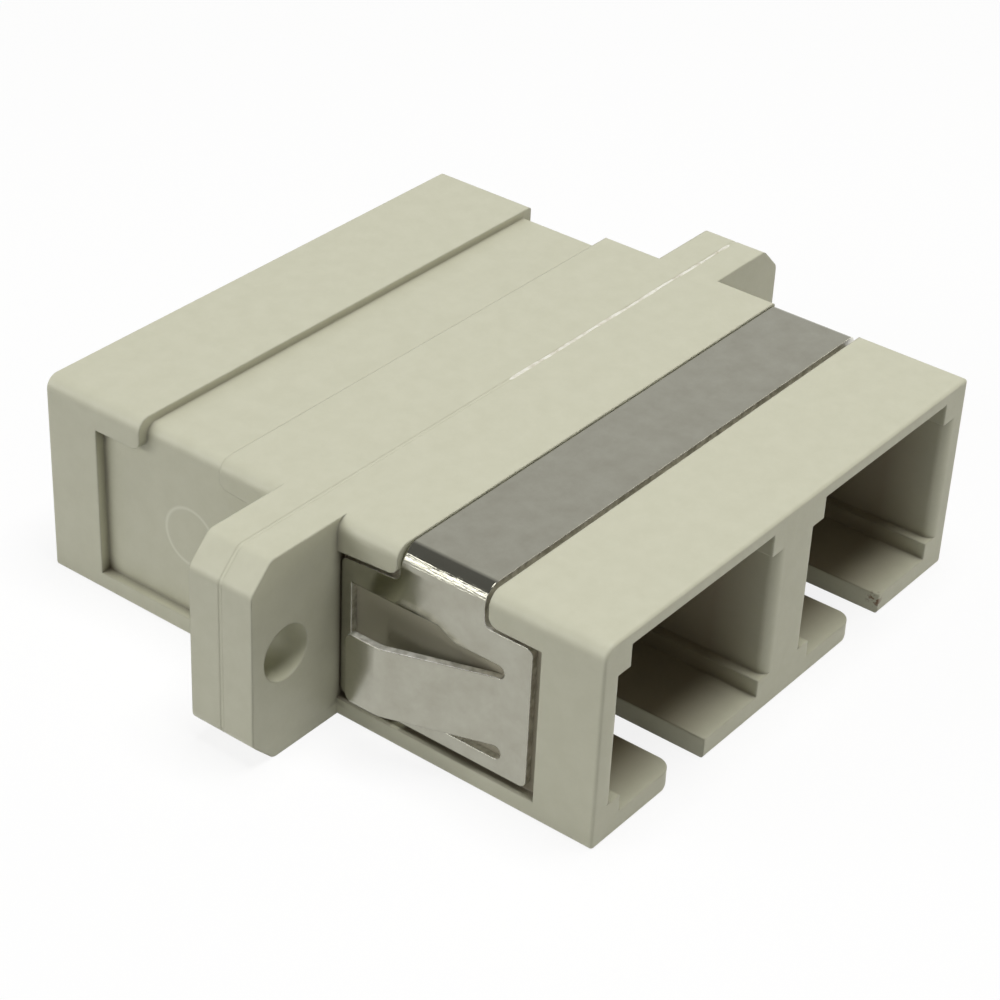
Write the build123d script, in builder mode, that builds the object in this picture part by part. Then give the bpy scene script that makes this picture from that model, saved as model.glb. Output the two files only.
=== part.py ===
from build123d import *
import os

os.makedirs("parts", exist_ok=True)

# Axes: X runs across the two ports, Y along the fibres, Z up.
# The two housing halves meet at Y = 0, and the clip sits on the half at negative Y.
# The near side is at negative X: there the top edges are rounded, on the far side they are sharp.

# Plug interface, shared by all four ports
port_pitch = 12.7
plug_width = 9.0
plug_height = 7.4
plug_clearance = 0.05
key_slot_width = 2.0
key_slot_length = 8.5

# Housing half
half_length = 13.9
outer_wall = 1.6
floor_wall = 0.9
roof_wall = 0.7
near_edge_radius = 0.6
far_edge_radius = 0.15
bottom_edge_radius = 0.15
front_edge_radius = 0.12
mouth_radius = 0.2
slot_mouth_radius = 0.7

# Guide corners of each port: the side walls are relieved between them
relief_depth = 0.45
lower_guide_height = 0.75
upper_guide_height = 0.85
entry_radius = 0.43

# Flange, half of it on each housing half
flange_width = 34.4
flange_half = 1.55
flange_chamfer = 1.1
flange_corner_radius = 0.5
screw_edge = 1.85
screw_hole = 2.4
seam_break = 0.1

# Groove for the clip's strap and pocket for its wing
groove_start = 4.45
groove_length = 4.27
groove_depth = 0.36
pocket_depth = 0.45
pocket_bottom = 0.8
pocket_height = 6.85
pocket_length = 9.6
tooth_radius = 0.45
tooth_rise = 0.2

# Spring clip, folded from one sheet
sheet = 0.3
clip_clearance = 0.1
near_bend_radius = 0.5
far_bend_radius = 0.08
bend_clearance = 0.03
far_wing_gap = 0.2
strap_rear_gap = 0.04
strap_front_gap = 0.3
wing_bottom_gap = 0.27
wing_height = 6.3
wing_front_gap = 0.5
wing_corner_radius = 0.3
neck_radius = 0.35

# Tongue lanced out of each wing
slot_margin = 1.2
tongue_flat = 0.1
tongue_drop = 0.35
window_step = 6.3
tongue_height = 3.1
tongue_slot = 0.6
window_rise = 0.4
window_rear_strip = 0.5
tongue_reach = 1.5
panel_thickness = 1.6
tongue_tip_length = 1.6
tongue_bend_radius = 1.2
tongue_tip_radius = 0.35

# Split sleeve that lines up two ferrules
ferrule = 2.5
sleeve_wall = 0.35
sleeve_length = 11.4
sleeve_slit = 0.5
sleeve_edge = 0.08

# Latch insert, two in each port pair, back to back at the middle
plate_thickness = 1.6
plate_overlap = 0.2
seat_clearance = 0.05
holder_wall = 0.7
sleeve_clearance = 0.1
holder_lip = 0.4
lip_clearance = 0.15
lip_lead = 0.25
latch_spread = 7.1
latch_thickness = 0.7
latch_height = 3.2
latch_reach = 8.3
latch_hook = 0.6
hook_length = 1.4
hook_flat = 0.3
latch_root_radius = 0.2
opening_clearance = 0.05
bulkhead = 1.4
bulkhead_corner = 0.5
holder_gap = 0.4

# Worked out from the values above
channel_width = plug_width + 2 * plug_clearance
channel_height = plug_height + plug_clearance
body_width = port_pitch + channel_width + 2 * outer_wall
body_height = floor_wall + channel_height + roof_wall
axis_height = floor_wall + channel_height / 2
screw_spacing = flange_width - 2 * screw_edge
relief_height = channel_height - lower_guide_height - upper_guide_height
relief_middle = floor_wall + lower_guide_height + relief_height / 2
groove_end = groove_start + groove_length
pocket_start = flange_half
pocket_end = pocket_start + pocket_length
pocket_top = pocket_bottom + pocket_height
pocket_floor = body_width / 2 - pocket_depth
groove_floor = body_height - groove_depth
near_seat_radius = near_bend_radius + bend_clearance
clip_middle = far_wing_gap / 2
clip_inside = 2 * pocket_floor + far_wing_gap
clip_outside = clip_inside + 2 * sheet
strap_top = groove_floor + sheet
wing_bottom = pocket_bottom + wing_bottom_gap
wing_top = wing_bottom + wing_height
wing_rear = pocket_start + clip_clearance
wing_front = pocket_end - wing_front_gap
neck_rear = groove_start + strap_rear_gap
neck_front = groove_end - strap_front_gap
tongue_middle = (wing_bottom + wing_top) / 2 - tongue_drop
tongue_bottom = tongue_middle - tongue_height / 2
tongue_top = tongue_middle + tongue_height / 2
tongue_end = flange_half + panel_thickness
slot_centre = wing_front - slot_margin - tongue_slot / 2
tongue_root = slot_centre + tongue_slot
tongue_bend = slot_centre - tongue_flat
window_rear = wing_rear + window_rear_strip
sleeve_radius = ferrule / 2 + sleeve_wall
holder_bore = sleeve_radius + sleeve_clearance
holder_radius = holder_bore + holder_wall
lip_radius = ferrule / 2 + lip_clearance
plate_width = channel_width + 2 * plate_overlap
plate_height = channel_height + plate_overlap
opening_width = latch_spread + 2 * (latch_thickness + latch_root_radius + opening_clearance)
opening_height = 2 * (holder_radius + holder_gap)


# One housing half, open towards negative Y
with BuildPart() as front_housing:
    with BuildSketch(Plane.XZ) as body_outline:
        with Locations((0, body_height / 2)):
            Rectangle(body_width, body_height)
        fillet(body_outline.vertices().group_by(Axis.Y)[0], bottom_edge_radius)
        fillet(body_outline.vertices().group_by(Axis.Y)[-1].sort_by(Axis.X)[-1], far_edge_radius)
        fillet(body_outline.vertices().group_by(Axis.Y)[-1].sort_by(Axis.X)[0], near_edge_radius)
    extrude(amount=half_length)
    fillet(front_housing.faces().sort_by(Axis.Y)[0].edges(), front_edge_radius)
    with BuildSketch(Plane.XZ) as flange_outline:
        with Locations((0, body_height / 2)):
            Rectangle(flange_width, body_height)
        chamfer(flange_outline.vertices(), flange_chamfer)
        fillet(flange_outline.vertices(), flange_corner_radius)
    extrude(amount=flange_half)
    chamfer(front_housing.faces().sort_by(Axis.Y)[-1].outer_wire().edges(), seam_break)

    # Screw holes through the ears
    with BuildSketch(Plane.XZ):
        with Locations((0, body_height / 2)):
            with GridLocations(screw_spacing, 0, 2, 1):
                Circle(screw_hole / 2)
    extrude(amount=flange_half, mode=Mode.SUBTRACT)

    # Strap groove over the top, with a seat rounded like the strap's bends
    with BuildSketch(Plane.XZ.offset(groove_start)) as groove:
        with Locations((0, body_height)):
            Rectangle(body_width, body_height - pocket_top, align=(Align.CENTER, Align.MAX))
        with Locations((0, groove_floor)):
            Rectangle(
                2 * pocket_floor,
                groove_floor - pocket_top,
                align=(Align.CENTER, Align.MAX),
                mode=Mode.SUBTRACT,
            )
        fillet(groove.vertices().group_by(Axis.Y)[-2].sort_by(Axis.X)[-1], far_edge_radius)
        fillet(groove.vertices().group_by(Axis.Y)[-2].sort_by(Axis.X)[0], near_seat_radius)
    extrude(amount=groove_length, mode=Mode.SUBTRACT)

    # Side pocket with its neck, the same shape on both sides
    for side in (-1, 1):
        with BuildSketch(Plane.YZ.offset(side * pocket_floor)) as pocket:
            with BuildLine():
                Polyline(
                    (-pocket_start, pocket_bottom),
                    (-pocket_end, pocket_bottom),
                    (-pocket_end, pocket_top),
                    (-groove_end, pocket_top),
                    (-groove_end, body_height),
                    (-groove_start, body_height),
                    (-groove_start, pocket_top + tooth_rise),
                    (-pocket_start, pocket_top),
                    close=True,
                )
            make_face()
            tooth_corners = (
                pocket.vertices()
                .filter_by_position(Axis.Y, pocket_top - 0.01, pocket_top + tooth_rise + 0.01)
                .filter_by_position(Axis.X, -groove_end - 0.01, -groove_start + 0.01)
            )
            fillet(tooth_corners, tooth_radius)
        extrude(amount=side * pocket_depth, mode=Mode.SUBTRACT)

    # Two plug channels, relieved between their guide corners
    with BuildSketch(Plane.XZ.offset(half_length)):
        with Locations((0, axis_height)):
            with GridLocations(port_pitch, 0, 2, 1):
                Rectangle(channel_width, channel_height)
    extrude(amount=-(half_length - plate_thickness - bulkhead), mode=Mode.SUBTRACT)
    with BuildSketch(Plane.XZ.offset(half_length)):
        with Locations((0, relief_middle)):
            with GridLocations(port_pitch, 0, 2, 1):
                Rectangle(channel_width + 2 * relief_depth, relief_height)
    extrude(amount=-(half_length - plate_thickness - bulkhead), mode=Mode.SUBTRACT)

    # Rounded entry to the reliefs and the roof
    front_face = front_housing.faces().sort_by(Axis.Y)[0]
    entry_edges = front_face.edges().filter_by(Axis.Z).filter_by(
        lambda e: abs(e.length - relief_height) < 0.01
    )
    fillet(entry_edges, entry_radius)
    roof_edges = (
        front_housing.faces().sort_by(Axis.Y)[0].edges().filter_by(Axis.X)
        .filter_by_position(Axis.Z, body_height - roof_wall - 0.01, body_height - roof_wall + 0.01)
    )
    fillet(roof_edges, mouth_radius)

    # Key slots through the floor, open at the mouth, each with one rounded mouth corner
    with BuildSketch(Plane.XY):
        with Locations((0, -half_length)):
            with GridLocations(port_pitch, 0, 2, 1):
                Rectangle(key_slot_width, 2 * key_slot_length)
    extrude(amount=floor_wall, mode=Mode.SUBTRACT)
    slot_corners = (
        front_housing.edges().filter_by(Axis.Z)
        .filter_by_position(Axis.Y, -half_length - 0.01, -half_length + 0.01)
        .filter_by_position(Axis.Z, 0, floor_wall)
        .sort_by(Axis.X)
    )
    fillet([slot_corners[0], slot_corners[2]], slot_mouth_radius)

    # Seat for the latch plate and the opening in front of it
    with BuildSketch(Plane.XZ):
        with Locations((0, axis_height)):
            with GridLocations(port_pitch, 0, 2, 1):
                Rectangle(plate_width + 2 * seat_clearance, plate_height + 2 * seat_clearance)
    extrude(amount=plate_thickness, mode=Mode.SUBTRACT)
    with BuildSketch(Plane.XZ.offset(plate_thickness)):
        with Locations((0, axis_height)):
            with GridLocations(port_pitch, 0, 2, 1):
                RectangleRounded(opening_width, opening_height, bulkhead_corner)
    extrude(amount=bulkhead, mode=Mode.SUBTRACT)
front_housing.part.label = "front_housing"
export_step(front_housing.part, "parts/front_housing.step")

# The other half is the mirror image, so its rounded edges are on the same side
with BuildPart() as rear_housing:
    add(front_housing.part.mirror(Plane.XZ))
rear_housing.part.label = "rear_housing"
export_step(rear_housing.part, "parts/rear_housing.step")


# Spring clip folded over the top of the front half. Its near wing lies on the pocket's floor, and
# its far wing stands off a little, because the clip is wider than its seat.
with BuildPart() as panel_clip:
    with BuildSketch(Plane.XZ.offset(wing_rear)) as fold:
        with Locations((clip_middle, strap_top)):
            Rectangle(clip_outside, strap_top - wing_bottom, align=(Align.CENTER, Align.MAX))
        fillet(fold.vertices().group_by(Axis.Y)[-1].sort_by(Axis.X)[-1], far_bend_radius + sheet)
        fillet(fold.vertices().group_by(Axis.Y)[-1].sort_by(Axis.X)[0], near_bend_radius + sheet)
    extrude(amount=wing_front - wing_rear)
    with BuildSketch(Plane.XZ.offset(wing_rear)) as hollow:
        with Locations((clip_middle, groove_floor)):
            Rectangle(clip_inside, groove_floor, align=(Align.CENTER, Align.MAX))
        fillet(hollow.vertices().group_by(Axis.Y)[-1].sort_by(Axis.X)[-1], far_bend_radius)
        fillet(hollow.vertices().group_by(Axis.Y)[-1].sort_by(Axis.X)[0], near_bend_radius)
    extrude(amount=wing_front - wing_rear, mode=Mode.SUBTRACT)

    # Wing and neck as seen from the side
    with BuildSketch(Plane.YZ.offset(-body_width)) as blank:
        with BuildLine():
            Polyline(
                (-wing_rear, wing_bottom),
                (-wing_front, wing_bottom),
                (-wing_front, wing_top),
                (-neck_front, wing_top),
                (-neck_front, 2 * body_height),
                (-neck_rear, 2 * body_height),
                (-neck_rear, wing_top + tooth_rise),
                (-wing_rear, wing_top),
                close=True,
            )
        make_face()
        fillet(blank.vertices().group_by(Axis.X)[0], wing_corner_radius)
        fillet(blank.vertices().group_by(Axis.X)[-1], wing_corner_radius)
        neck_corners = (
            blank.vertices()
            .filter_by_position(Axis.Y, wing_top - 0.01, wing_top + tooth_rise + 0.01)
            .filter_by_position(Axis.X, -neck_front - 0.01, -neck_rear + 0.01)
        )
        fillet(neck_corners, neck_radius)
    extrude(amount=2 * body_width, mode=Mode.INTERSECT)

    # Window round the tongue: two slots, wider towards the free end
    with BuildSketch(Plane.YZ.offset(-body_width)) as window:
        with BuildLine():
            Polyline(
                (-slot_centre, tongue_bottom - tongue_slot),
                (-window_rear, tongue_bottom - tongue_slot),
                (-window_rear, tongue_top + tongue_slot + window_rise),
                (-window_step, tongue_top + tongue_slot + window_rise),
                (-window_step - 2 * window_rise, tongue_top + tongue_slot),
                (-slot_centre, tongue_top + tongue_slot),
                close=True,
            )
        make_face()
        with Locations((-slot_centre, tongue_middle)):
            with GridLocations(0, tongue_height + tongue_slot, 1, 2):
                Circle(tongue_slot / 2)
    extrude(amount=2 * body_width, mode=Mode.SUBTRACT)

    # Tongue sprung outwards, with its tip turned back along the wall
    for side in (-1, 1):
        sheet_middle = clip_middle + side * (clip_inside + sheet) / 2
        with BuildSketch(Plane.XY.offset(tongue_bottom)):
            with BuildLine():
                FilletPolyline(
                    (sheet_middle, -tongue_root),
                    (sheet_middle, -tongue_bend),
                    (sheet_middle + side * tongue_reach, -tongue_end - tongue_tip_length),
                    (sheet_middle + side * tongue_reach, -tongue_end),
                    radius=tongue_bend_radius,
                )
            trace(line_width=sheet)
        extrude(amount=tongue_height)
    tip_corners = (
        panel_clip.edges().filter_by(Axis.X)
        .filter_by_position(Axis.Y, -tongue_end - 0.01, -tongue_end + 0.01)
    )
    fillet(tip_corners, tongue_tip_radius)
panel_clip.part.label = "panel_clip"
export_step(panel_clip.part, "parts/panel_clip.step")


# Latch insert, shown for a front port with the fibre axis at the origin
with BuildPart() as latch:
    with BuildSketch(Plane.XZ):
        Rectangle(plate_width, plate_height)
    extrude(amount=plate_thickness)

    # Holder for half of the sleeve, with a flared lip that keeps the sleeve in
    with BuildSketch(Plane.XZ):
        Circle(holder_radius)
    extrude(amount=sleeve_length / 2 + holder_lip)
    with BuildSketch(Plane.XZ):
        Circle(holder_bore)
    extrude(amount=sleeve_length / 2, mode=Mode.SUBTRACT)
    with Locations(Location((0, -(sleeve_length + holder_lip) / 2, 0), (90, 0, 0))):
        Cone(lip_radius, lip_radius + lip_lead, holder_lip, mode=Mode.SUBTRACT)

    # Two sprung arms, each with a hook that faces the axis
    for side in (-1, 1):
        arm_inner = side * latch_spread / 2
        arm_outer = side * (latch_spread / 2 + latch_thickness)
        hook_nose = side * (latch_spread / 2 - latch_hook)
        with BuildSketch(Plane.XY.offset(-latch_height / 2)) as arm:
            with BuildLine():
                Polyline(
                    (arm_inner, -plate_thickness / 2),
                    (arm_outer, -plate_thickness / 2),
                    (arm_outer, -latch_reach),
                    (arm_inner, -latch_reach),
                    (hook_nose, -latch_reach + hook_length - hook_flat),
                    (hook_nose, -latch_reach + hook_length),
                    (arm_inner, -latch_reach + hook_length),
                    close=True,
                )
            make_face()
        extrude(amount=latch_height)
    arm_roots = (
        latch.edges().filter_by(Axis.Z)
        .filter_by_position(Axis.Y, -plate_thickness - 0.01, -plate_thickness + 0.01)
        .filter_by(lambda e: abs(e.length - latch_height) < 0.01)
    )
    fillet(arm_roots, latch_root_radius)

latch_places = {
    "front_left_latch": Location((-port_pitch / 2, 0, axis_height)),
    "front_right_latch": Location((port_pitch / 2, 0, axis_height)),
    "rear_left_latch": Location((-port_pitch / 2, 0, axis_height), (0, 0, 180)),
    "rear_right_latch": Location((port_pitch / 2, 0, axis_height), (0, 0, 180)),
}
for name, place in latch_places.items():
    with BuildPart() as latch_insert:
        add(latch.part.moved(place))
    latch_insert.part.label = name
    export_step(latch_insert.part, f"parts/{name}.step")


# Split sleeve, rolled with its slit upwards
with BuildPart() as split_sleeve:
    with BuildSketch(Plane.XZ.offset(-sleeve_length / 2)):
        Circle(sleeve_radius)
        Circle(ferrule / 2, mode=Mode.SUBTRACT)
        with Locations((0, sleeve_radius)):
            Rectangle(sleeve_slit, 2 * sleeve_radius, mode=Mode.SUBTRACT)
    extrude(amount=sleeve_length)
    rims = split_sleeve.edges().filter_by(GeomType.CIRCLE)
    chamfer(rims, sleeve_edge)

for name, port in (("left_sleeve", -port_pitch / 2), ("right_sleeve", port_pitch / 2)):
    with BuildPart() as sleeve:
        add(split_sleeve.part.moved(Location((port, 0, axis_height))))
    sleeve.part.label = name
    export_step(sleeve.part, f"parts/{name}.step")
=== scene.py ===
import math

import bmesh
import bpy
import numpy as np
from mathutils import Matrix, Vector


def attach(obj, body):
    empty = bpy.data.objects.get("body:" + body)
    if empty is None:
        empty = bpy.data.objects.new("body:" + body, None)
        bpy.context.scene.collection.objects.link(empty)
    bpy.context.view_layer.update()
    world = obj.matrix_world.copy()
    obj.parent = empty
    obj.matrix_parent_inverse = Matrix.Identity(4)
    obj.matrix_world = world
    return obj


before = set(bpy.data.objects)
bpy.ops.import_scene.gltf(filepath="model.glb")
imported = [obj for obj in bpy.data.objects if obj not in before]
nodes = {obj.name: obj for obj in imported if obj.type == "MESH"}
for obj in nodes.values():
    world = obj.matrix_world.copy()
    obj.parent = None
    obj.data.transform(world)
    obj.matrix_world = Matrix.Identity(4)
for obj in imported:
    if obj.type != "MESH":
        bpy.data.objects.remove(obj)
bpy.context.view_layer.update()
mm = 0.001
print("frame loaded:", len(nodes), "pieces")


# Small node helpers

def startMaterial(name):
    material = bpy.data.materials.new(name)
    material.use_nodes = True
    tree = material.node_tree
    tree.nodes.clear()
    output = tree.nodes.new("ShaderNodeOutputMaterial")
    shader = tree.nodes.new("ShaderNodeBsdfPrincipled")
    tree.links.new(shader.outputs["BSDF"], output.inputs["Surface"])
    return material, tree, shader


def inMillimetres(tree, stretch=(1, 1, 1)):
    # Object coordinates times 1000, so that one unit of every pattern is a millimetre
    coordinates = tree.nodes.new("ShaderNodeTexCoord")
    mapping = tree.nodes.new("ShaderNodeMapping")
    mapping.inputs["Scale"].default_value = [1000 * s for s in stretch]
    tree.links.new(coordinates.outputs["Object"], mapping.inputs["Vector"])
    return mapping.outputs["Vector"]


def noise(tree, vector, scale, detail=3, roughness=0.5):
    node = tree.nodes.new("ShaderNodeTexNoise")
    node.inputs["Scale"].default_value = scale
    node.inputs["Detail"].default_value = detail
    node.inputs["Roughness"].default_value = roughness
    tree.links.new(vector, node.inputs["Vector"])
    return node.outputs["Fac"]


def spread(tree, value, fromLow, fromHigh, toLow, toHigh):
    node = tree.nodes.new("ShaderNodeMapRange")
    node.inputs["From Min"].default_value = fromLow
    node.inputs["From Max"].default_value = fromHigh
    node.inputs["To Min"].default_value = toLow
    node.inputs["To Max"].default_value = toHigh
    tree.links.new(value, node.inputs["Value"])
    return node.outputs["Result"]


def blendColours(tree, factor, first, second):
    node = tree.nodes.new("ShaderNodeMix")
    node.data_type = "RGBA"
    tree.links.new(factor, node.inputs["Factor"])
    for socket, colour in ((node.inputs["A"], first), (node.inputs["B"], second)):
        if hasattr(colour, "is_output"):
            tree.links.new(colour, socket)
        else:
            socket.default_value = (*colour, 1)
    return node.outputs["Result"]


def blendValues(tree, factor, first, second):
    node = tree.nodes.new("ShaderNodeMix")
    for name, value in (("Factor", factor), ("A", first), ("B", second)):
        socket = node.inputs[name]
        if hasattr(value, "is_output"):
            tree.links.new(value, socket)
        else:
            socket.default_value = value
    return node.outputs["Result"]


def calculate(tree, operation, first, second=0.0):
    node = tree.nodes.new("ShaderNodeMath")
    node.operation = operation
    for socket, value in ((node.inputs[0], first), (node.inputs[1], second)):
        if hasattr(value, "is_output"):
            tree.links.new(value, socket)
        else:
            socket.default_value = value
    return node.outputs["Value"]


def offFrom(tree, value, middle):
    return calculate(tree, "ABSOLUTE", calculate(tree, "SUBTRACT", value, middle))


def within(tree, value, middle, reach):
    # One where the value lies less than the reach away from the middle, else zero
    return calculate(tree, "LESS_THAN", offFrom(tree, value, middle), reach)


def axesOf(tree, vector):
    node = tree.nodes.new("ShaderNodeSeparateXYZ")
    tree.links.new(vector, node.inputs["Vector"])
    return node.outputs


def bump(tree, height, distance, strength, before=None):
    node = tree.nodes.new("ShaderNodeBump")
    node.inputs["Distance"].default_value = distance * mm
    node.inputs["Strength"].default_value = strength
    tree.links.new(height, node.inputs["Height"])
    if before is not None:
        tree.links.new(before, node.inputs["Normal"])
    return node.outputs["Normal"]


def roundedEdges(tree, radius):
    # A normal that bends over every sharp edge as if it had this radius in millimetres
    node = tree.nodes.new("ShaderNodeBevel")
    node.samples = 6
    node.inputs["Radius"].default_value = radius * mm
    return node.outputs["Normal"]


def distanceTo(tree, vector, point):
    node = tree.nodes.new("ShaderNodeVectorMath")
    node.operation = "DISTANCE"
    tree.links.new(vector, node.inputs[0])
    node.inputs[1].default_value = point
    return node.outputs["Value"]


def crevice(tree, reach):
    # One on open faces, less in narrow gaps and corners within the reach in millimetres
    node = tree.nodes.new("ShaderNodeAmbientOcclusion")
    node.samples = 8
    node.inputs["Distance"].default_value = reach * mm
    return node.outputs["AO"]


# Moulded housing plastic

housing = {
    "beige": (0.575, 0.57, 0.44),
    "paleBeige": (0.60, 0.595, 0.465),
    # Colour of the painted shade in corners and gaps
    "creviceShade": (0.075, 0.052, 0.028),
    "creviceReach": 0.8,
    "hollowShade": (0.34, 0.30, 0.22),
    "roughness": 0.45,
    "grainPerMm": 6.0,
    "grainDepth": 0.004,
    "edgeRadius": 0.14,
    "scuff": (0.20, 0.12, 0.06),
    "scuffPlace": (7.2, -13.75, 0.6),
    "scuffRadius": 0.55,
    "ring": (0.80, 0.80, 0.68),
    "ringPlace": (-12.05, 6.5, 4.4),
    "ringRadius": 1.3,
    "ringHalfWidth": 0.11,
    "collarEnd": 4.45,
    "seamHalfWidth": 0.12,
    "portMiddle": (6.35, 4.625),       # X and Z, and the same for the reach
    "portReach": (5.03, 3.74),
    "portMouth": 13.8,
    "portDark": 11.3,                  # Y from which the ports have the full hollow shade
    "pocketFloor": 12.05,
    "pocketMiddle": (-6.35, 4.225),    # Y and Z, and the same for the reach
    "pocketReach": (4.79, 3.42),
    "pocketShade": 0.55,
}


def mouldedPlastic():
    material, tree, shader = startMaterial("mouldedBeigePlastic")
    place = inMillimetres(tree)
    cloud = spread(tree, noise(tree, place, 1.1, 5, 0.6), 0.35, 0.65, 0, 1)
    colour = blendColours(tree, cloud, housing["beige"], housing["paleBeige"])

    # Faint ring of the ejector pin in the rear pocket
    off = offFrom(tree, distanceTo(tree, place, housing["ringPlace"]), housing["ringRadius"])
    ring = spread(tree, off, 0, housing["ringHalfWidth"], 0.6, 0)
    colour = blendColours(tree, ring, colour, housing["ring"])

    # Brown specks on the corner of the right floor strip
    fromScuff = distanceTo(tree, place, housing["scuffPlace"])
    near = spread(tree, fromScuff, housing["scuffRadius"], 0.2, 0, 1)
    specks = spread(tree, noise(tree, place, 5.0, 3), 0.48, 0.56, 0, 1)
    colour = blendColours(tree, calculate(tree, "MULTIPLY", near, specks), colour, housing["scuff"])

    # Painted shade: a darker brown colour in corners and gaps where the occlusion node finds them, but
    # not in the welded seam, at the collar's ends or near the floor
    spot = axesOf(tree, place)
    along = calculate(tree, "ABSOLUTE", spot["Y"])
    contact = spread(tree, offFrom(tree, along, housing["collarEnd"]), 0.15, 0.4, 1, 0)
    seam = spread(tree, along, housing["seamHalfWidth"], 0.25, 1, 0)
    low = spread(tree, spot["Z"], 0.45, 0.85, 1, 0)
    openness = spread(tree, crevice(tree, housing["creviceReach"]), 0.2, 0.78, 0, 1)
    unshaded = calculate(tree, "MAXIMUM", seam, calculate(tree, "MAXIMUM", contact, low))
    unshaded = calculate(tree, "MAXIMUM", openness, unshaded)
    colour = blendColours(tree, unshaded, housing["creviceShade"], colour)

    # Painted shade inside the ports: a browner, darker tone, deepening over the first millimetres
    sideways = calculate(tree, "ABSOLUTE", spot["X"])
    between = within(tree, sideways, housing["portMiddle"][0], housing["portReach"][0])
    level = within(tree, spot["Z"], housing["portMiddle"][1], housing["portReach"][1])
    inward = spread(tree, along, housing["portMouth"], housing["portDark"], 0, 1)
    shade = calculate(tree, "MULTIPLY", calculate(tree, "MULTIPLY", between, level), inward)

    # The same painted shade, weaker, on the pocket floors behind the clip's wings
    onFloor = within(tree, sideways, housing["pocketFloor"], 0.02)
    lengthwise = within(tree, spot["Y"], housing["pocketMiddle"][0], housing["pocketReach"][0])
    upwards = within(tree, spot["Z"], housing["pocketMiddle"][1], housing["pocketReach"][1])
    pocket = calculate(tree, "MULTIPLY", onFloor, calculate(tree, "MULTIPLY", lengthwise, upwards))
    pocket = calculate(tree, "MULTIPLY", pocket, housing["pocketShade"])
    shade = calculate(tree, "MAXIMUM", shade, pocket)
    colour = blendColours(tree, shade, colour, housing["hollowShade"])
    tree.links.new(colour, shader.inputs["Base Color"])
    grain = noise(tree, place, housing["grainPerMm"], 2)
    dull = spread(tree, grain, 0.3, 0.7, housing["roughness"] - 0.05, housing["roughness"] + 0.08)
    tree.links.new(dull, shader.inputs["Roughness"])

    # The weld has filled the seam, so there the normal has almost no part along Y
    edges = roundedEdges(tree, housing["edgeRadius"])
    across = tree.nodes.new("ShaderNodeVectorMath")
    across.operation = "MULTIPLY"
    across.inputs[1].default_value = (1, 0, 1)
    tree.links.new(edges, across.inputs[0])
    welded = calculate(tree, "MULTIPLY", seam, 0.9)
    filled = blendColours(tree, welded, edges, across.outputs["Vector"])
    tree.links.new(bump(tree, grain, housing["grainDepth"], 0.5, filled), shader.inputs["Normal"])
    shader.inputs["Specular IOR Level"].default_value = 0.4
    return material


# Rolled spring steel of the clip

steel = {
    "base": (0.39, 0.385, 0.32),
    "stain": (0.34, 0.33, 0.27),
    "roughness": 0.14,
    "edgeRadius": 0.07,
    "edge": (0.85, 0.84, 0.78),
    "edgeRoughness": 0.45,
    "strapBottom": 8.5,
    "bendSide": (-12.15, -11.95),    # X over which the draw marks fade out
    "bendHeight": (8.25, 8.45),      # Z over which they come in
    "drawMarks": 0.5,
}


def springSteel():
    material, tree, shader = startMaterial("rolledSpringSteel")
    place = inMillimetres(tree)
    mottle = spread(tree, noise(tree, place, 0.9, 6, 0.65), 0.3, 0.7, 0, 1)
    face = blendColours(tree, mottle, steel["stain"], steel["base"])
    faceRoughness = spread(tree, mottle, 0, 1, steel["roughness"] + 0.05, steel["roughness"] - 0.03)

    # Cut edges of the sheet: faces square to Y, and below the strap the faces square to Z too
    normal = axesOf(tree, tree.nodes.new("ShaderNodeTexCoord").outputs["Normal"])
    spot = axesOf(tree, place)
    acrossY = spread(tree, calculate(tree, "ABSOLUTE", normal["Y"]), 0.7, 0.8, 0, 1)
    notAcrossX = spread(tree, calculate(tree, "ABSOLUTE", normal["X"]), 0.1, 0.2, 1, 0)
    below = calculate(tree, "LESS_THAN", spot["Z"], steel["strapBottom"])
    edge = calculate(tree, "MAXIMUM", acrossY, calculate(tree, "MULTIPLY", notAcrossX, below))

    wear = spread(tree, noise(tree, place, 3.0, 3), 0.35, 0.6, 0.45, 1)
    cut = blendColours(tree, wear, steel["stain"], steel["edge"])
    tree.links.new(blendColours(tree, edge, face, cut), shader.inputs["Base Color"])
    rough = blendValues(tree, edge, faceRoughness, steel["edgeRoughness"])
    tree.links.new(rough, shader.inputs["Roughness"])
    shader.inputs["Metallic"].default_value = 1
    ripple = noise(tree, place, 0.6, 1)
    rounded = roundedEdges(tree, steel["edgeRadius"])
    rippled = bump(tree, ripple, 0.02, 0.3, rounded)

    # Draw marks along the near bend
    marks = noise(tree, inMillimetres(tree, (1, 0.06, 1)), 9.0, 3, 0.6)
    beyond = spread(tree, spot["X"], *steel["bendSide"], 1, 0)
    above = spread(tree, spot["Z"], *steel["bendHeight"], 0, steel["drawMarks"])
    drawn = bump(tree, marks, 0.05, 1, rippled)
    tree.links.new(calculate(tree, "MULTIPLY", beyond, above), drawn.node.inputs["Strength"])
    tree.links.new(drawn, shader.inputs["Normal"])
    return material


def latchPlastic():
    material, tree, shader = startMaterial("latchPlastic")
    place = inMillimetres(tree)
    cloud = spread(tree, noise(tree, place, 0.4, 2), 0.35, 0.65, 0, 1)
    colour = blendColours(tree, cloud, (0.46, 0.45, 0.36), (0.52, 0.51, 0.41))
    tree.links.new(colour, shader.inputs["Base Color"])
    shader.inputs["Roughness"].default_value = 0.45
    grain = noise(tree, place, 7.0, 2)
    tree.links.new(bump(tree, grain, 0.003, 0.4), shader.inputs["Normal"])
    return material


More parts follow.
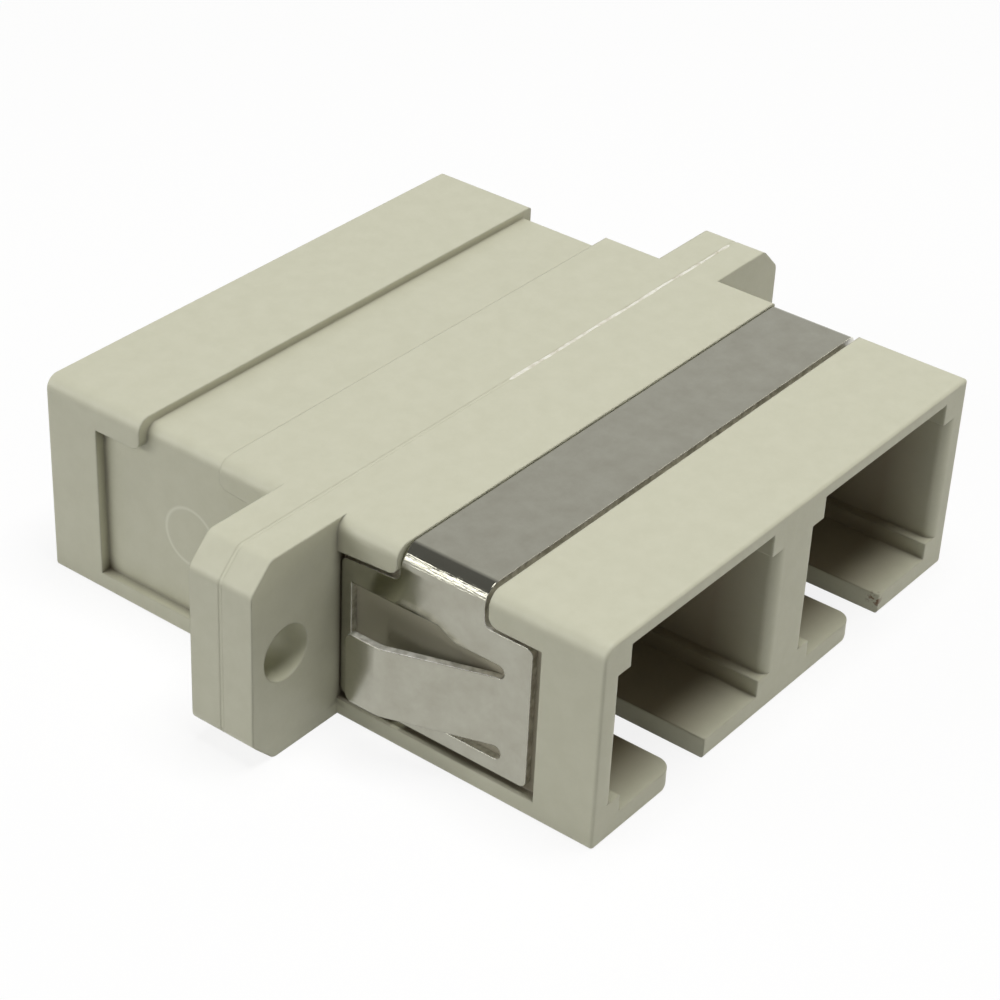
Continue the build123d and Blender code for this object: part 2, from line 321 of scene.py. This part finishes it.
def rolledBronze():
    material, tree, shader = startMaterial("rolledBronze")
    lines = noise(tree, inMillimetres(tree, (9, 0.5, 9)), 1.0, 3)
    colour = blendColours(tree, lines, (0.50, 0.30, 0.15), (0.62, 0.40, 0.21))
    tree.links.new(colour, shader.inputs["Base Color"])
    shader.inputs["Metallic"].default_value = 1
    shader.inputs["Roughness"].default_value = 0.3
    tree.links.new(bump(tree, lines, 0.002, 0.3), shader.inputs["Normal"])
    return material


def dress(names, material):
    for name in names:
        piece = nodes[name]
        piece.data.materials.clear()
        piece.data.materials.append(material)


dress(("front_housing", "rear_housing"), mouldedPlastic())
dress(("panel_clip",), springSteel())
dress([name for name in nodes if name.endswith("_latch")], latchPlastic())
dress(("left_sleeve", "right_sleeve"), rolledBronze())
print("finishes applied")


# Weld bead in the seam on top of the flange: a wavering tube along X. With a from 0 to 1 along it
# and u round it, y = drift(x) + r cos u and z = top - h + h taper(a) sin u, h being halfHeight.
# The radius is r = radius (1.1 - 0.4 a + ripple waver(x) + lump(x)) taper(a), the drift and the
# waver are sines of x, and the lump is a bell curve near the far end.
bead = {
    "fromX": -0.5,
    "toX": 15.9,
    "top": 9.049,
    "halfHeight": 0.055,
    "radius": 0.125,
    "ripple": 0.35,
    "rings": 420,
    "sides": 12,
}


def buildWeldBead():
    along = np.linspace(0, 1, bead["rings"])
    x = bead["fromX"] + (bead["toX"] - bead["fromX"]) * along
    waver = 0.5 * np.sin(2.1 * x) + 0.3 * np.sin(5.3 * x + 1.0) + 0.2 * np.sin(11.7 * x + 2.0)
    taper = np.clip(np.minimum(along, 1 - along) * 25, 0, 1) ** 0.5
    lump = 0.6 * np.exp(-((x - bead["toX"] + 0.5) / 0.35) ** 2)
    radius = bead["radius"] * (1.1 - 0.4 * along + bead["ripple"] * waver + lump) * taper
    drift = 0.02 * np.sin(1.3 * x + 0.5)
    turn = np.linspace(0, 2 * np.pi, bead["sides"], endpoint=False)
    y = drift[:, None] + radius[:, None] * np.cos(turn)
    z = bead["top"] + bead["halfHeight"] * (taper[:, None] * np.sin(turn) - 1)
    points = np.stack([np.broadcast_to(x[:, None], y.shape), y, z], axis=-1).reshape(-1, 3) * mm
    ring, side = np.meshgrid(np.arange(bead["rings"] - 1), np.arange(bead["sides"]), indexing="ij")
    after = (side + 1) % bead["sides"]
    first, second = ring * bead["sides"], (ring + 1) * bead["sides"]
    faces = np.stack([first + side, first + after, second + after, second + side], axis=-1)
    mesh = bpy.data.meshes.new("weldBead")
    mesh.from_pydata(points.tolist(), [], faces.reshape(-1, 4).tolist())

    # At both ends the ring has shrunk to a point, and its vertices become one
    closed = bmesh.new()
    closed.from_mesh(mesh)
    bmesh.ops.remove_doubles(closed, verts=closed.verts, dist=1e-8)
    closed.to_mesh(mesh)
    closed.free()
    mesh.polygons.foreach_set("use_smooth", np.ones(len(mesh.polygons), dtype=bool))
    weld = bpy.data.objects.new("weldBead", mesh)
    bpy.context.collection.objects.link(weld)
    mesh.materials.append(fusedPlastic())
    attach(weld, "root")


# Plastic that the welding pressed into the seam all round the flange: a ring with a triangular
# section. Its path is the flange's outline, with each corner V between the points A and B rounded
# by the curve (1 - t)^2 A + 2 t (1 - t) V + t^2 B.
fill = {
    "halfWidth": 17.2,
    "height": 9.05,
    "chamfer": 1.1,
    "cornerRun": 0.207,
    "cornerPoints": 7,
    "sunk": 0.02,
    "deep": 0.098,
    "halfBreadth": 0.085,
}


def buildSeamFill():
    wide, high, cut = fill["halfWidth"], fill["height"], fill["chamfer"]
    corner = np.array([
        (wide - cut, 0), (wide, cut), (wide, high - cut), (wide - cut, high),
        (cut - wide, high), (-wide, high - cut), (-wide, cut), (cut - wide, 0),
    ])
    before = np.roll(corner, 1, axis=0) - corner
    after = np.roll(corner, -1, axis=0) - corner
    before = corner + before / np.linalg.norm(before, axis=1)[:, None] * fill["cornerRun"]
    after = corner + after / np.linalg.norm(after, axis=1)[:, None] * fill["cornerRun"]
    t = np.linspace(0, 1, fill["cornerPoints"])[None, :, None]
    path = (1 - t) ** 2 * before[:, None] + 2 * t * (1 - t) * corner[:, None] + t ** 2 * after[:, None]
    path = path.reshape(-1, 2)

    # Three points at each station: both rims just below the surface, and the tip deep in the seam
    tangent = np.roll(path, -1, axis=0) - np.roll(path, 1, axis=0)
    inward = np.stack([-tangent[:, 1], tangent[:, 0]], axis=1)
    inward /= np.linalg.norm(inward, axis=1)[:, None]
    count = len(path)
    points = np.zeros((count, 3, 3))
    for index, (depth, y) in enumerate((
        (fill["sunk"], -fill["halfBreadth"]), (fill["sunk"], fill["halfBreadth"]), (fill["deep"], 0),
    )):
        points[:, index, 0::2] = path + inward * depth
        points[:, index, 1] = y
    station, side = np.meshgrid(np.arange(count), np.arange(3), indexing="ij")
    first, second = station * 3, (station + 1) % count * 3
    after = (side + 1) % 3
    faces = np.stack([first + side, first + after, second + after, second + side], axis=-1)
    mesh = bpy.data.meshes.new("seamFill")
    mesh.from_pydata((points.reshape(-1, 3) * mm).tolist(), [], faces.reshape(-1, 4).tolist())
    seamFill = bpy.data.objects.new("seamFill", mesh)
    bpy.context.collection.objects.link(seamFill)
    mesh.materials.append(nodes["front_housing"].data.materials[0])
    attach(seamFill, "root")


def fusedPlastic():
    material, tree, shader = startMaterial("fusedPlastic")
    place = inMillimetres(tree)
    patches = spread(tree, noise(tree, place, 1.2, 5, 0.65), 0.32, 0.56, 0, 1)
    colour = blendColours(tree, patches, (0.50, 0.45, 0.33), (0.84, 0.83, 0.74))
    tree.links.new(colour, shader.inputs["Base Color"])
    shader.inputs["Roughness"].default_value = 0.35
    return material


buildWeldBead()
buildSeamFill()
print("weld built")


# Camera at the photograph's angle, distances in millimetres
shot = {
    "azimuth": 53.292,
    "elevation": 33.099,
    "roll": 2.811,
    "aim": (-0.653, -0.145, 3.517),
    "distance": 110.0,
    "lens": 95.874,
}


def placeCamera():
    azimuth, elevation = math.radians(shot["azimuth"]), math.radians(shot["elevation"])
    look = Vector((
        math.sin(azimuth) * math.cos(elevation),
        math.cos(azimuth) * math.cos(elevation),
        -math.sin(elevation),
    ))
    level = look.cross(Vector((0, 0, 1))).normalized()
    upright = level.cross(look)
    roll = math.radians(shot["roll"])
    right = level * math.cos(roll) + upright * math.sin(roll)
    up = upright * math.cos(roll) - level * math.sin(roll)
    data = bpy.data.cameras.new("photoCamera")
    data.lens = shot["lens"]
    data.sensor_width = 36
    data.clip_start, data.clip_end = 0.005, 20
    camera = bpy.data.objects.new("photoCamera", data)
    bpy.context.collection.objects.link(camera)
    turn = Matrix((right, up, -look)).transposed()
    spot = Vector(shot["aim"]) * mm - look * shot["distance"] * mm
    camera.matrix_world = Matrix.Translation(spot) @ turn.to_4x4()
    bpy.context.scene.camera = camera


placeCamera()


# Floor, world and lamps
studio = {
    "floorGrey": 0.65,       # what the floor sends back onto the object
    "floorGlow": 0.86,
    "ambient": 0.09,
    "ambientTint": (1.0, 0.97, 0.86),
    "overhead": 0.495,       # watts
    "rearStrip": 0.29,
    "rightFront": 0.14,
    "rightFrontTint": (1.0, 0.96, 0.80),
    "skyDark": 0.185,
    "skyMid": 0.81,
    "floorHalfSize": 3.0,    # metres
    "aimHeight": 4,
}


def seenDirectly(tree):
    # One for rays from the camera and for mirror-like and clear rays, else zero
    path = tree.nodes.new("ShaderNodeLightPath")
    first = calculate(tree, "MAXIMUM", path.outputs["Is Camera Ray"], path.outputs["Is Glossy Ray"])
    return calculate(tree, "MAXIMUM", first, path.outputs["Is Transmission Ray"])


def buildFloor():
    size = studio["floorHalfSize"]
    mesh = bpy.data.meshes.new("floor")
    corners = [(-size, -size, 0), (size, -size, 0), (size, size, 0), (-size, size, 0)]
    mesh.from_pydata(corners, [], [(0, 1, 2, 3)])
    floor = bpy.data.objects.new("floor", mesh)
    bpy.context.collection.objects.link(floor)
    material = bpy.data.materials.new("paleFloor")
    material.use_nodes = True
    tree = material.node_tree
    tree.nodes.clear()
    output = tree.nodes.new("ShaderNodeOutputMaterial")
    matt = tree.nodes.new("ShaderNodeBsdfDiffuse")
    grey = spread(tree, seenDirectly(tree), 0, 1, studio["floorGrey"], 1)
    tree.links.new(grey, matt.inputs["Color"])
    glow = tree.nodes.new("ShaderNodeEmission")
    glow.inputs["Color"].default_value = (1, 1, 1, 1)
    mix = tree.nodes.new("ShaderNodeMixShader")
    share = calculate(tree, "MULTIPLY", seenDirectly(tree), studio["floorGlow"])
    tree.links.new(share, mix.inputs["Fac"])
    tree.links.new(matt.outputs["BSDF"], mix.inputs[1])
    tree.links.new(glow.outputs["Emission"], mix.inputs[2])
    tree.links.new(mix.outputs["Shader"], output.inputs["Surface"])
    mesh.materials.append(material)


def buildWorld():
    world = bpy.data.worlds.new("studioSky")
    world.use_nodes = True
    bpy.context.scene.world = world
    tree = world.node_tree
    tree.nodes.clear()
    output = tree.nodes.new("ShaderNodeOutputWorld")
    background = tree.nodes.new("ShaderNodeBackground")
    toward = axesOf(tree, tree.nodes.new("ShaderNodeTexCoord").outputs["Generated"])

    # Mirror-like rays see white at the horizon, light grey to the far right and a dark ceiling
    right = spread(tree, toward["X"], 0.40, 0.60, studio["skyDark"], studio["skyMid"])
    low = spread(tree, toward["Z"], 0.20, 0.34, 1, 0)
    mirrored = calculate(tree, "MAXIMUM", low, right)
    direct = seenDirectly(tree)
    seen = calculate(tree, "MULTIPLY", mirrored, direct)
    unseen = calculate(tree, "MULTIPLY", calculate(tree, "SUBTRACT", 1.0, direct), studio["ambient"])
    tree.links.new(calculate(tree, "ADD", seen, unseen), background.inputs["Strength"])
    tint = blendColours(tree, direct, studio["ambientTint"], (1, 1, 1))
    tree.links.new(tint, background.inputs["Color"])
    tree.links.new(background.outputs["Background"], output.inputs["Surface"])


def addLamp(name, place, size, power, tint=(1, 1, 1)):
    # Place and size in millimetres, aimed at the middle of the object
    data = bpy.data.lights.new(name, "AREA")
    data.shape = "RECTANGLE"
    data.size, data.size_y = size[0] * mm, size[1] * mm
    data.energy = power
    data.color = tint
    lamp = bpy.data.objects.new(name, data)
    bpy.context.collection.objects.link(lamp)
    away = (Vector(place) - Vector((0, 0, studio["aimHeight"]))) * mm
    turn = away.to_track_quat("Z", "Y").to_matrix().to_4x4()
    lamp.matrix_world = Matrix.Translation(Vector(place) * mm) @ turn


buildFloor()
buildWorld()
addLamp("overheadSoftbox", (5, -28, 250), (120, 120), studio["overhead"])
addLamp("rearStrip", (-232, 160, 110), (240, 60), studio["rearStrip"])
addLamp("rightFrontSoftbox", (235, -180, 75), (200, 110), studio["rightFront"],
        studio["rightFrontTint"])
bpy.context.scene.view_settings.view_transform = "Standard"
print("studio ready")
